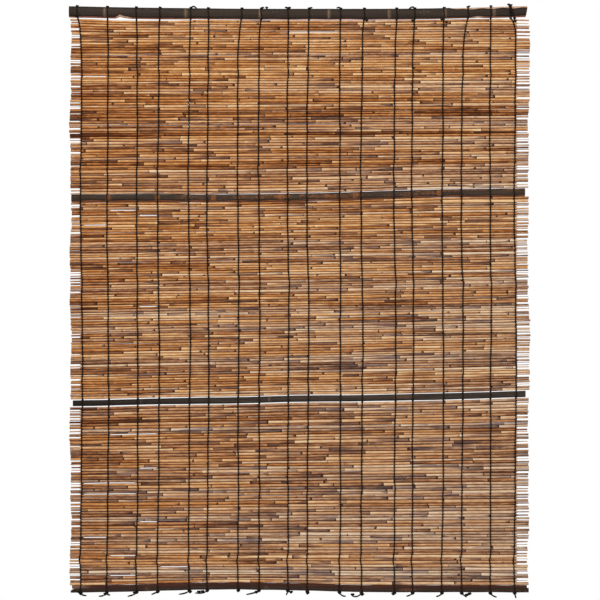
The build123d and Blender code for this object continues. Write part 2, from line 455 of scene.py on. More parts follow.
def reedMaterial():
    look = reedLook
    made, tree, shader = newMaterial("dryReed")
    place = node(tree, "ShaderNodeTexCoord").outputs["Object"]
    streaks = noise(tree, place, look["streaks"])
    mottle = noise(tree, place, look["mottle"], detail=2.0)
    patches = noise(tree, place, look["patches"], (5, 0, 3), 2.0)
    before, after, rise = (attribute(tree, name) for name in ("before", "after", "rise"))
    hue, lean, depth = (attribute(tree, name) for name in ("hue", "lean", "depth"))
    aside = node(tree, "ShaderNodeSeparateXYZ", {0: place}).outputs
    # How light the reed is here: its own tone, the streaks along it, fresher skin just past each node, and a
    # painted highlight, a paler line just above its middle where the lamp from above lights it
    value = plus(tree, attribute(tree, "tone"), spread(tree, streaks, look["streakiness"]))
    value = plus(tree, value, spread(tree, mottle, look["mottling"]))
    value = plus(tree, value, times(tree, fading(tree, after, look["freshReach"]), look["fresh"]))
    # Painted highlight: lighter just above the front of each reed, where the lamp from above lights it
    crest = minus(tree, 0.45, positive(tree, minus(tree, rise, 0.3)))
    value = plus(tree, value, times(tree, crest, look["crest"]))
    # Darker towards the left end
    end = calculate(tree, "MINIMUM", plus(tree, aside["X"], look["leftFrom"]), 0.0)
    value = plus(tree, value, times(tree, end, look["leftEnd"]))
    value = plus(tree, value, times(tree, aside["X"], look["right"]), True)
    # Greyer towards the right and towards the bottom
    hue = plus(tree, hue, times(tree, aside["X"], look["greyRight"]))
    hue = plus(tree, hue, times(tree, aside["Z"], look["greyUp"]), True)
    warm, cool = (shades(tree, value, look[key], look["stops"]) for key in ("warm", "cool"))
    colour = mixed(tree, hue, warm, cool)
    # What is left of the leaf sheath ends square at the node and tapers to a point away from it
    offset = minus(tree, rise, times(tree, lean, 0.5))
    taper = minus(tree, 1.0, times(tree, positive(tree, offset), 0.6))
    covered = minus(tree, times(tree, attribute(tree, "sheath"), taper), before)
    covered = over(tree, covered, attribute(tree, "soft"))
    covered = plus(tree, covered, spread(tree, patches, look["patchiness"]), True)
    brown, grey = (shades(tree, value, look[key], look["sheathStops"]) for key in ("sheath", "greySheath"))
    colour = mixed(tree, times(tree, covered, depth), colour, mixed(tree, hue, brown, grey))
    # A dark spindle at the node, on the side where the bud was
    offset = calculate(tree, "POWER", times(tree, minus(tree, rise, lean), 0.8), 2.0)
    length = calculate(tree, "POWER", over(tree, before, attribute(tree, "bud")), 2.0)
    spot = ramp(tree, plus(tree, offset, length), (0.35, 1.0), (1.0, 0.0))
    colour = mixed(tree, times(tree, spot, 0.92), colour, look["dot"])
    colour = mixed(tree, attribute(tree, "cut"), colour, look["cut"])
    # Dust and shade in the grooves between the reeds, deeper in some places than in others
    hollow = plus(tree, positive(tree, rise), spread(tree, mottle, 0.5))
    colour = mixed(tree, 1.0, colour, ramp(tree, hollow, (0.6, 1.0), (0.98, look["groove"])), "MULTIPLY")
    roughness = shades(tree, streaks, look["roughness"], (0.3, 0.7))
    tree.links.new(roughness, shader.inputs["Roughness"])
    finish(tree, shader, colour, look["shine"], streaks, look["relief"])
    return made


cordLook = {
    "black": srgb(15, 10, 6), "brown": srgb(42, 31, 22), "pale": srgb(226, 218, 200),
    "roughness": 0.75, "shine": 0.1, "relief": 0.0003,
}


def cordMaterial():
    look = cordLook
    made, tree, shader = newMaterial("twinedCord")
    place = node(tree, "ShaderNodeTexCoord").outputs["Object"]
    grain = noise(tree, place, (900, 900, 900), detail=2.0)
    colour = mixed(tree, grain, look["black"], look["brown"])
    colour = mixed(tree, attribute(tree, "frayed"), colour, look["pale"])
    shader.inputs["Roughness"].default_value = look["roughness"]
    along = node(tree, "ShaderNodeCombineXYZ", {0: attribute(tree, "ply")}).outputs[0]
    ply = node(tree, "ShaderNodeTexWave", {"Vector": along, "Scale": 1.0, "Distortion": 0.4}).outputs["Fac"]
    finish(tree, shader, colour, look["shine"], ply, look["relief"])
    return made


bambooLooks = {
    "top": {"skin": srgb(44, 34, 26), "streak": srgb(62, 51, 42), "worn": srgb(84, 70, 58),
            "cut": srgb(206, 166, 138), "under": srgb(160, 92, 62), "ring": srgb(132, 108, 86)},
    "second": {"skin": srgb(48, 35, 26), "streak": srgb(76, 62, 50), "worn": srgb(132, 80, 42),
               "cut": srgb(96, 60, 40), "under": srgb(140, 86, 56), "ring": srgb(148, 92, 48)},
    "third": {"skin": srgb(40, 31, 25), "streak": srgb(76, 65, 57), "worn": srgb(82, 62, 48),
              "cut": srgb(84, 60, 46), "under": srgb(52, 38, 30), "ring": srgb(104, 88, 74)},
    "bottom": {"skin": srgb(42, 28, 20), "streak": srgb(66, 50, 40), "worn": srgb(84, 56, 40),
               "cut": srgb(56, 38, 30), "under": srgb(48, 32, 24), "ring": srgb(92, 66, 48)},
    "edge": {"skin": srgb(50, 24, 15), "streak": srgb(84, 50, 36), "worn": srgb(92, 58, 40),
             "cut": srgb(130, 100, 84), "under": srgb(60, 36, 24), "ring": srgb(110, 84, 66)},
}
# What all the battens share. Grains are counted a metre along each axis
bamboo = {
    "speck": srgb(140, 130, 118), "line": srgb(24, 18, 15), "shine": 0.12, "relief": 0.0007,
    "streakGrain": (12, 460, 460), "blotchGrain": (22, 110, 110), "speckGrain": (190, 420, 420),
    "wear": 1.8, "speckedWear": 3.0,
}


def bambooMaterial(name):
    look = bambooLooks[name]
    made, tree, shader = newMaterial(name + "Bamboo")
    place = node(tree, "ShaderNodeTexCoord").outputs["Object"]
    streaks = noise(tree, place, bamboo["streakGrain"], detail=5.0, roughness=0.65)
    blotch = noise(tree, place, bamboo["blotchGrain"], (3.1, 0, 1.7), 4.0, 0.65)
    speck = noise(tree, place, bamboo["speckGrain"], detail=4.0, roughness=0.7)
    colour = mixed(tree, ramp(tree, streaks, (0.38, 0.0), (0.72, 1.0)), look["skin"], look["streak"])
    colour = mixed(tree, ramp(tree, speck, (0.62, 0.0), (0.78, 0.2)), colour, bamboo["speck"])
    worn = plus(tree, spread(tree, blotch, bamboo["wear"]), attribute(tree, "worn"))
    worn = plus(tree, worn, spread(tree, speck, bamboo["speckedWear"]))
    colour = mixed(tree, ramp(tree, worn, (0.35, 0.0), (0.8, 0.85)), colour, look["worn"])
    ring = times(tree, attribute(tree, "ring"), ramp(tree, speck, (0.35, 0.35), (0.6, 0.85)))
    colour = mixed(tree, ring, colour, look["ring"])
    # Painted shade darkens the skin towards both edges, so the face reads as round, and the listed dark
    # stretches darken it all over
    shade = ramp(tree, attribute(tree, "shade"), (0.0, 1.0), (1.0, 0.3))
    colour = mixed(tree, 1.0, colour, shade, "MULTIPLY")
    colour = mixed(tree, attribute(tree, "line"), colour, bamboo["line"])
    under = mixed(tree, spread(tree, blotch, 2.0), look["under"], look["skin"])
    colour = mixed(tree, attribute(tree, "under"), colour, under)
    pale = mixed(tree, spread(tree, streaks, 1.5), look["cut"], look["under"])
    colour = mixed(tree, attribute(tree, "cut"), colour, pale)
    tree.links.new(ramp(tree, streaks, (0.3, 0.5), (0.8, 0.75)), shader.inputs["Roughness"])
    finish(tree, shader, colour, bamboo["shine"], streaks, bamboo["relief"])
    return made


reedSkin = reedMaterial()
cordSkin = cordMaterial()
print("materials made")

# Reeds
reed = {
    "nodes": 7,
    "nodeSpread": 0.8,      # how unevenly they are spaced
    "plain": 28,            # rings along a reed besides those at its nodes and where gaps open
    "aboutNode": (-3.0, -0.9, -0.15, 0.15, 0.9, 3.0),
    "aboutCord": (-6.5, -1.5, 1.5, 6.5),
    "sides": 10,
    "depth": 2.3,
    "leftInset": 2.1,
    "rightInset": 3.4,
    "leftEnd": 1.6,         # how unevenly the ends were sawn off
    "rightEnd": 2.2,
    "rim": 0.35,            # from a sawn end to the next ring
    "hollow": 3.0,
    "turned": 0.15,         # share of reeds that lie the other way round
    "sawWaves": ((9.0, 1.2), (3.7, 0.9)),       # rows and size of the slow waves that both ends follow
    "rightWave": (17.0, 1.4),
    "overlap": 0.03,        # each reed presses a little into its neighbours
    "thinnest": 0.55,
    "nodeSwell": 0.06,
    "nodeReach": 1.6,
    "thinReach": 60.0,      # how far past a node a reed stays thinner
    "sway": 0.22,           # back and forth, in waves of swayLength
    "swayLength": 190.0,
    "tone": 0.52,
    "toneSpread": 0.075,
    # What changes by chance from one node to the next: lowest, highest, and a power above 1 for more low ones
    "chances": {
        "thin": (0.0, 0.16), "tone": (-0.24, 0.24), "hue": (-0.15, 0.15), "sheath": (4.0, 95.0, 2.0),
        "soft": (1.5, 14.0, 1.5), "depth": (0.5, 1.0), "lean": (-1.0, 1.0), "bud": (0.8, 7.0, 1.6),
    },
}
# Single reeds that are darker or lighter than the rest: row and shift of tone
oddTones = {36: -0.2, 37: -0.26, 38: -0.12, 45: -0.3, 70: 0.12, 71: -0.1}


def reedEnds(rows):
    # Both ends of each reed: slow waves from row to row, and cuts that are uneven by chance
    saw = sum(size * np.sin(rows / length) for length, size in reed["sawWaves"])
    left = -half + reed["leftInset"] + saw + rng.uniform(0, reed["leftEnd"], rows.shape)
    right = half - reed["rightInset"] + saw - rng.uniform(0, reed["rightEnd"], rows.shape)
    length, size = reed["rightWave"]
    return left, right + size * np.sin(rows / length)


def reedRings(left, right):
    # Rings along each reed, closer together at its nodes and where gaps open. For each ring: the stretch it
    # is in, from one node to the next, and how far it stands before the next node and after the last one
    n = len(left)
    spans = rng.uniform(1 - reed["nodeSpread"], 1 + reed["nodeSpread"], (n, reed["nodes"] + 1))
    nodes = left + (right - left) * (np.cumsum(spans, 1) / spans.sum(1, keepdims=True))[:, :-1]
    first, last = left + reed["rim"], right - reed["rim"]
    plain = first + (last - first) * np.linspace(0, 1, reed["plain"])
    atNodes = (nodes[:, :, None] + np.array(reed["aboutNode"])).reshape(n, -1)
    atGaps = (cordPlaces[:5, None] + np.array(reed["aboutCord"])).ravel()
    atGaps = np.concatenate((atGaps, cordPlaces[0] - (2.0, 4.0), cordPlaces[-1] + (1.0, 3.0, 5.0)))
    atGaps = np.broadcast_to(atGaps, (n, len(atGaps)))
    x = np.sort(np.clip(np.concatenate((plain, atNodes, atGaps), 1), first, last), 1)
    x += np.arange(x.shape[1]) * 1e-4       # so that no two rings share a place
    edges = np.concatenate((left - 25, nodes, right + 25), 1)
    part = (x[:, :, None] > edges[:, None, 1:-1]).sum(2)
    start, stop = np.take_along_axis(edges, part, 1), np.take_along_axis(edges, part + 1, 1)
    turned = rng.random((n, 1)) < reed["turned"]
    return x, part, np.where(turned, x - start, stop - x), np.where(turned, stop - x, x - start)


def perPart(part, key):
    # A number by chance for each stretch between two nodes
    low, high, *power = reed["chances"][key]
    chance = rng.random((len(part), reed["nodes"] + 1))
    return np.take_along_axis(low + (high - low) * chance ** (power[0] if power else 1.0), part, 1)


def reedLooks(rows, part, before, after):
    # What the material reads at each ring, and how the reed swells at its nodes and thins just past them
    odd = np.array([oddTones.get(row, 0.0) for row in rows.ravel()])[:, None]
    tone = reed["tone"] + rng.normal(0, reed["toneSpread"], rows.shape) + odd
    swell = 1 - perPart(part, "thin") * np.exp(-after / reed["thinReach"])
    swell = swell + reed["nodeSwell"] * np.exp(-(before / reed["nodeReach"]) ** 2)
    looks = {"before": before, "after": after, "tone": tone + perPart(part, "tone")}
    looks["hue"] = rng.random(rows.shape) ** 1.5 * 0.9 - 0.4 + perPart(part, "hue")
    for key in ("sheath", "soft", "depth", "lean", "bud"):
        looks[key] = perPart(part, key)
    return looks, swell


def capped(v, outer, rim, inner):
    # A row of values with those of the sawn end, its rim and the hollow inside it at both ends
    end = np.ones((len(v), 1)) * (inner, rim, outer)
    return np.concatenate((end, v, end[:, ::-1]), 1)


def reedBodies(rows):
    # Every reed is a row of ellipses from end to end: half height and middle from its two grooves, depth from
    # its half height and swell, and closed by a rim and a hollow at each end
    left, right = reedEnds(rows)
    x, part, before, after = reedRings(left, right)
    looks, swell = reedLooks(rows, part, before, after)
    looks = {key: np.pad(v, ((0, 0), (3, 3)), "edge") for key, v in looks.items()}
    looks["cut"] = capped(np.zeros_like(swell), 1.0, 1.0, 0.0)
    looks["before"][:, (0, -1)] = 0.0
    deepness, tallness = capped(swell, 0.9, 0.5, 0.4), capped(np.ones_like(swell), 0.9, 0.5, 0.4)
    inside, edge = reed["hollow"], 0.05
    x = np.concatenate((left + inside, left + edge, left, x, right, right - edge, right - inside), 1)
    ceiling, ground = grooveHeight(rows, x), grooveHeight(rows + 1, x)
    top, bottom = ceiling - grooveGap(rows, x) / 2, ground + grooveGap(rows + 1, x) / 2
    middle, high = (top + bottom) / 2, np.maximum((top - bottom) / 2 + reed["overlap"], reed["thinnest"])
    depth = np.minimum(high, reed["depth"]) * rng.uniform(0.88, 1.0, rows.shape) * deepness
    sway = reed["sway"] * np.sin(2 * np.pi * x / reed["swayLength"] + rng.uniform(0, 6.3, rows.shape))
    sway = sway + rng.uniform(-0.2, 0.2, rows.shape)
    a = (np.arange(reed["sides"]) + 0.5) * 2 * np.pi / reed["sides"]
    y = sway[..., None] - depth[..., None] * np.cos(a)
    z = middle[..., None] + (high * tallness)[..., None] * np.sin(a)
    # Where the blind bends, the back of each reed slopes away from the groove to let its neighbour lean in
    room = blind["lean"] * np.maximum(y, 0)
    z = np.where(np.isin(rows, stripStarts)[..., None], np.minimum(z, ceiling[..., None] - room), z)
    z = np.where(np.isin(rows + 1, stripStops)[..., None], np.maximum(z, ground[..., None] + room), z)
    looks["rise"] = np.broadcast_to(np.sin(a) / np.sin(a).max(), z.shape)
    poles = np.stack((x[:, (0, -1)], sway[:, (0, -1)], middle[:, (0, -1)]), -1)
    return np.stack(np.broadcast_arrays(x[..., None], y, z), -1), poles, looks


reedRows = np.flatnonzero(isReed)
reedPoints, reedPoles, reedValues = reedBodies(reedRows[:, None])
for number, (start, stop) in enumerate(stripRows, 1):
    pick = np.flatnonzero((reedRows >= start) & (reedRows < stop))
    grid = reedPoints[pick]
    values = {}
    for key, value in reedValues.items():
        v = value[pick] if value.ndim == 3 else np.repeat(value[pick, :, None], reed["sides"], 2)
        values[key] = np.concatenate((v.ravel(), v[:, (0, -1), 0].ravel()))
    points = np.concatenate((grid.reshape(-1, 3), reedPoles[pick].reshape(-1, 3)))
    faces = tubeFaces(len(pick), grid.shape[1], reed["sides"])
    makePiece(f"reed_stems_{number:02d}", points, faces, values, reedSkin, f"reeds_{number:02d}")
print("reeds made", reedPoints.shape)

# Cords
cordPhase = rng.uniform(0, 2 * np.pi, (len(cordPlaces), 3))
kinks, kinkReach = np.array(cord["kinks"]), np.array(cord["kinkReach"])


def cordX(c, z):
    # A cord's place, the drift of them all, the jogs, its own kink at the top and its own small waves
    x = cordPlaces[c] + sum(np.interp(z + step, *cord["drift"]) for step in (-60, -20, 20, 60)) / 4
    x = x + sum(shift * np.exp(-((z - height) / reach) ** 2) for height, shift, reach in cord["jogs"])
    x = x + kinks[c] * np.exp(np.minimum(z + cord["kinkBelow"], 0) / kinkReach[c])
    for k, (length, reach) in enumerate(cord["wander"]):
        x = x + reach * np.sin(z / length + cordPhase[c, k])
    return x


def strandPaths(first, last):
    # Two strands of every cord over rows first to last - 1: each passes in front of one row and behind the
    # next, in arches that are round over a reed and flat over a batten, and they cross between the rows
    counts = np.where(isReed[first:last], cord["reedRings"], cord["battenRings"])
    t = np.concatenate([row - 0.5 + np.arange(n) / n for row, n in enumerate(counts, first)] + [[last - 0.5]])
    row = np.clip(np.floor(t + 0.5).astype(int), first, last - 1)
    s = t - row
    top, bottom = grooveHeight(row, cordPlaces[:, None]), grooveHeight(row + 1, cordPlaces[:, None])
    z = top + (bottom - top) * (s + 0.5)
    x = cordX(np.arange(len(cordPlaces))[:, None], z)
    fronts = dict(zip(battenRows, blind["fronts"]))
    front = np.array([fronts.get(r, reed["depth"]) for r in row]) + cord["strand"]
    back = np.where(isReed[row], reed["depth"], 1.7) + cord["strand"]
    overReed, overBatten = np.abs(np.cos(np.pi * s)) ** 0.5, 1 - np.abs(2 * s) ** 14
    frontArch = np.where(isReed[row], overReed, overBatten * (1 - 0.45 * (2 * s) ** 2))
    backArch = np.where(isReed[row], overReed, overBatten)
    paths = []
    for strand in (0, 1):
        y = np.where((row + strand) % 2 == 0, -front * frontArch, back * backArch)
        aside = cord["side"] * np.sin(np.pi * (t + strand))
        paths.append(np.stack(np.broadcast_arrays(x + aside, y, z), -1))
    return np.concatenate(paths)


def cordPiece(name, solid, first, last, extra=()):
    # The strands over some rows as tubes, and further tubes as (paths, radii, sides, share that is frayed)
    paths = strandPaths(first, last)
    tubes = [(paths, np.full(paths.shape[:2], cord["strand"]), cord["sides"], 0.0), *extra]
    points, faces, plies, frays, offset = [], [], [], [], 0
    for path, radii, sides, frayed in tubes:
        grid, tips = tubeAlong(path, radii, sides)
        faces.extend([[p + offset for p in face] for face in tubeFaces(len(path), path.shape[1], sides)])
        steps = np.linalg.norm(np.diff(path, axis=1), axis=-1)
        run = np.concatenate((np.zeros((len(path), 1)), steps.cumsum(1)), 1)
        ply = run[..., None] * 0.9 + np.arange(sides) / sides
        part = np.concatenate((grid.reshape(-1, 3), tips.reshape(-1, 3)))
        points.append(part)
        plies.append(np.concatenate((ply.ravel(), np.zeros(tips.size // 3))))
        frays.append(np.full(len(part), frayed))
        offset += len(part)
    values = {"ply": np.concatenate(plies), "frayed": np.concatenate(frays)}
    makePiece(name, np.concatenate(points), faces, values, cordSkin, solid)


knot = {
    "wide": 2.0, "tall": 1.2, "deep": 1.1, "strand": 1.0, "sides": 6, "rings": 24,
    "topSize": 1.15, "bottomSize": 1.45,
    "place": -2.0,          # in front of the reeds' middle
    "aboveTop": 0.2,
    "belowBottom": 1.2,
    "tail": 1.35,           # thickness of a loose end, for a strand of 1
    # Loose ends at the knots: cord, reach aside, rise or drop, and curl
    "topTails": (
        (4, 11.0, -0.5, 2.6), (7, 5.0, 0.5, 1.5), (8, -6.0, 1.2, 1.2), (9, 6.0, 1.0, 0.6),
        (10, -8.0, 0.8, 1.4), (13, -12.0, -2.0, 3.0), (15, 4.0, 1.4, 0.5), (17, -5.0, 1.0, 2.4),
        (17, 9.0, -26.0, 2.0), (17, 6.5, -20.0, -1.0),
    ),
    "bottomTails": (
        (0, 11.0, -3.5, -1.0), (1, -15.0, -5.5, -1.5), (1, 7.0, -3.0, -1.0), (2, -17.0, -7.0, -1.0),
        (3, -12.0, -5.0, 0.5), (4, -20.0, -6.0, -1.0), (5, -23.0, -4.0, -2.0), (7, -24.0, -7.0, -0.5),
        (7, -6.0, -5.0, 0.5), (8, -3.0, -7.0, 0.0), (10, 12.0, -6.5, -2.0), (11, -17.0, -5.5, -3.0),
        (13, -12.0, -5.5, -0.5), (14, -11.0, -6.0, -1.0), (15, 9.0, -7.0, 0.5), (16, 12.0, -7.0, -1.0),
        (17, 2.5, -9.0, 0.0),
    ),
    # Further knots: cord, shift aside, shift up and place from front to back
    "topLumps": (
        (17, 1.8, 1.0, -3.4), (17, 0.2, -2.5, -7.6), (17, 1.2, -7.0, -8.0), (17, 1.0, -11.5, -7.6),
        (17, 8.5, -24.5, -4.4), (17, 10.0, -29.5, -4.4), (0, -2.0, -20.5, -3.6), (11, 4.0, -23.0, -3.0),
        (13, -4.0, -23.5, -3.0), (14, -4.5, -23.0, -3.0), (14, 4.0, -27.5, -3.6), (7, 10.0, 1.6, -2.0),
        (8, 3.0, 1.4, -2.0),
    ),
    "bottomLumps": (
        (0, -3.0, 4.0, -5.0), (11, -17.0, -2.6, -2.2), (11, 1.5, -2.2, -2.2), (15, 10.0, -2.8, -2.2),
        (15, 15.0, -0.6, -2.6), (12, -2.0, -1.0, -2.2), (5, -9.0, -1.2, -2.2), (5, -16.0, -2.0, -2.2),
        (8, 6.0, -1.5, -2.2), (9, 0.5, -2.6, -2.2), (7, -4.5, -2.0, -2.2), (1, -2.5, -1.2, -2.2),
        (2, -3.5, -0.6, -2.2), (4, 1.5, -1.4, -2.2),
    ),
}


def knotPaths(x, y, z, size):
    # An overhand knot round each point: a ring that winds twice while it swings through itself three times
    u = np.linspace(0.1, 2 * np.pi - 0.05, knot["rings"])
    shape = np.stack((
        (np.sin(u) + 1.9 * np.sin(2 * u)) / 2.9 * knot["wide"],
        -knot["deep"] * np.sin(3 * u),
        (np.cos(u) - 1.9 * np.cos(2 * u)) / 2.9 * knot["tall"],
    ), -1)
    return np.stack((x, y, z), -1)[:, None] + shape * size


def tailPaths(x, y, z, reach, drop, depth, curl):
    # Loose ends that leave their knots, reach aside and curl as they go, in half waves of a sine
    u = np.linspace(0, 1, 9)
    ax = x[:, None] + reach[:, None] * u ** 1.15
    ay = y[:, None] + depth[:, None] * np.sin(np.pi * u * 0.8)
    az = z[:, None] + drop[:, None] * u + curl[:, None] * np.sin(np.pi * u)
    return np.stack((ax, ay, az), -1)


def tapered(paths, radius):
    return np.broadcast_to(radius * np.array((1, 1, 1, 1, 1, 0.97, 0.92, 0.85, 0.6)), paths.shape[:2])


def knotsAt(groove, step, tails, lumps, size):
    # A knot on every cord a step away from a groove, with its loose ends and what else is knotted near it
    x = cordX(np.arange(len(cordPlaces)), np.full(len(cordPlaces), grooveBase[groove]))
    y = np.full(len(x), knot["place"])
    z = grooveHeight(groove, x) + step
    which, aside, up, place = (np.array(column) for column in zip(*lumps))
    middles = ((x, x[which] + aside), (y, place), (z, z[which] + up))
    knots = knotPaths(*(np.concatenate(pair) for pair in middles), size)
    who, reach, drop, curl = (np.array(column) for column in zip(*tails))
    long = drop < -15       # these pass in front of the batten
    ends = tailPaths(x[who], y[who], z[who], reach, drop, np.where(long, -6.5, -1.2), curl)
    return [
        (knots, np.full(knots.shape[:2], knot["strand"] * size), knot["sides"], 0.0),
        (ends, tapered(ends, cord["strand"] * knot["tail"]), knot["sides"], 0.0),
    ]


frayed = {
    "cord": 4, "heights": (-171.0, -213.0), "radius": 0.42, "place": -3.6,
    "aside": (-0.6, 0.3, -0.2), "up": (2.5, 0.5, -2.0), "reach": (-2.6, 2.8, -1.5), "drop": (3.0, -3.4, -3.2),
    "depth": (-0.8, -0.6, -0.9), "curl": (0.8, 0.6, -0.5),
}


def frayedBits(z):
    # Three short pale fibres that have worked loose from a cord
    aside, up, reach, drop, depth, curl = (
        np.array(frayed[key]) for key in ("aside", "up", "reach", "drop", "depth", "curl"))
    x = cordX(np.full(3, frayed["cord"]), np.full(3, z)) + aside
    paths = tailPaths(x, np.full(3, frayed["place"]), z + up, reach, drop, depth, curl)
    return [(paths, tapered(paths, frayed["radius"]), 5, 1.0)]


knots = {
    "top": knotsAt(0, knot["aboveTop"], knot["topTails"], knot["topLumps"], knot["topSize"]),
    "bottom": knotsAt(
        rowCount, -knot["belowBottom"], knot["bottomTails"], knot["bottomLumps"], knot["bottomSize"]),
}
for name, row in zip(("top", "second", "third", "bottom"), battenRows):
    cordPiece(f"{name}_batten_cord", f"{name}_batten_cords", row, row + 1, knots.get(name, ()))
for number, (start, stop) in enumerate(stripRows, 1):
    bits = [frayedBits(z) for z in frayed["heights"] if grooveBase[start] > z > grooveBase[stop]]
    cordPiece(f"cord_strands_{number:02d}", f"cords_{number:02d}", start, stop, sum(bits, []))
print("cords made")

# Battens
lath = {
    "edge": 1.6,        # how far in front of the reeds' middle the edges of a lath stand
    "rings": 190,
    "aboutNode": (-7, -2.8, -1.9, -1.2, -0.6, 0, 0.5, 0.9, 1.3, 1.9, 2.8, 7),
    "across": (0, 0.012, 0.05, 0.12, 0.2, 0.3, 0.4, 0.5, 0.6, 0.7, 0.8, 0.88, 0.95, 0.988, 1.0),
    "cutSteps": (0.06, 0.35, 0.65, 0.94),
    "square": 0.6,      # a bevel of this size and more leaves the inner edge at its full height
    "ringHeight": 0.45,
    "swellHeight": 0.25,
    "hollow": 0.4,      # how much a ring stands out inside
    "wornFade": 14.0,
}
laths = {
    # Insets are the room left at each end, and nodes are shares of the length. Chips are a share of the
    # length and a depth. Bevels ("upper", "lower") turn an edge's cut face forward, "trim" takes height off
    # both edges and "dark" shades the skin: each is places and sizes. Worn places are a start, a stop, a
    # strength and how much of the height they take
    "top": {
        "row": 0, "height": 21.0, "radius": 18.0, "wall": 4.0, "insets": (0.0, 6.5),
        "nodes": (0.0785, 0.255, 0.4166, 0.567, 0.698, 0.820, 0.927), "ringWidth": 2.6,
        "chips": ((0.100, 2.3), (0.875, 1.1)), "slant": 3.5, "point": 0.0, "wave": 0.2,
        "upper": ((285, 300, 440), (0.0, 3.6, 4.4)), "lower": ((-440, 440), (1.7, 1.7)),
        "trim": ((-440, 440), (0.0, 0.0)),
        "worn": ((-60, 0, 0.1, 0.7), (180, 240, 0.15, 0.7)),
        "dark": ((-440, -400, 330, 440), (0.35, 0.0, 0.0, 0.3)),
    },
    "second": {
        "row": battenRows[1], "height": 16.0, "radius": 14.0, "wall": 3.6, "insets": (4.5, 11.5),
        "nodes": (0.082, 0.190, 0.313, 0.463, 0.6254, 0.8106), "ringWidth": 4.2,
        "chips": (), "slant": 0.0, "point": 0.0, "wave": 0.45,
        "upper": ((-230, -200, 440), (0.0, 0.8, 0.8)), "lower": ((-440, 0, 440), (4.0, 3.0, 2.6)),
        "trim": ((-440, 440), (0.0, 0.0)),
        "worn": ((-225, -150, 0.25, 0.9), (-125, -20, 0.5, 0.75), (0, 110, 0.4, 0.9), (200, 262, 0.4, 0.9),
                 (275, 430, 0.6, 0.3)),
        "dark": ((-440, -250, -210), (0.25, 0.2, 0.0)),
    },
    "third": {
        "row": battenRows[2], "height": 12.6, "radius": 14.0, "wall": 3.6, "insets": (7.5, 10.5),
        "nodes": (0.151, 0.434), "ringWidth": 2.2,
        "chips": (), "slant": 0.0, "point": 0.0, "wave": 0.25,
        "upper": ((-440, 440), (0.0, 0.0)), "lower": ((-440, 440), (1.2, 0.8)),
        "trim": ((-440, -330, -180, 440), (0.6, 0.5, 0.1, 0.0)),
        "worn": ((188, 204, 1.1, 0.7), (-20, 120, 0.1, 0.7)),
        "dark": ((-440, -300, -180, -60), (0.8, 0.75, 0.3, 0.0)),
    },
    "bottom": {
        "row": battenRows[3], "height": 9.0, "radius": 11.0, "wall": 3.2, "insets": (3.5, 4.5),
        "nodes": (0.166, 0.427, 0.734), "ringWidth": 3.0,
        "chips": (), "slant": 0.0, "point": 8.0, "wave": 0.3,
        "upper": ((-440, 440), (0.0, 0.0)), "lower": ((-440, 440), (0.5, 0.5)),
        "trim": ((-440, 440), (0.0, 0.0)),
        "worn": ((196, 212, 1.0, 0.8),),
        "dark": ((-440, 440), (0.0, 0.0)),
    },
}


def bump(x, start, stop, fade):
    # 1 between two places, fading out beyond them
    return smooth((x - start) / fade + 1) * smooth((stop - x) / fade + 1)


def lathEdges(size, x, left, right):
    # Heights of the upper and lower edge in slow waves, with a point at the left end, and how deep the chips
    # bite: each rises steeply and runs out slowly
    row, hh, point = size["row"], size["height"] / 2, size["point"]
    upper = hh + size["wave"] * 0.6 * (np.sin(x / 51 + row) + 0.6 * np.sin(x / 9.0 + 2)) / 1.6
    pointed = 0.3 + (x - left) * hh / (point + 1e-6)
    upper = np.minimum(upper, np.where(x < left + point, pointed, upper))
    lower = -hh + size["wave"] * (np.sin(x / 37 + 1.3 * row) + 0.7 * np.sin(x / 13 + row)) * 0.6
    bitten = np.zeros_like(x)
    for share, deep in size["chips"]:
        start = left + share * (right - left)
        bitten += np.interp(x, (start, start + 10, start + 30), (0, deep, 0)) * (1 + 0.3 * np.sin(x * 1.7))
    trim = np.interp(x, *size["trim"])
    return upper - trim, lower + bitten + trim, bitten


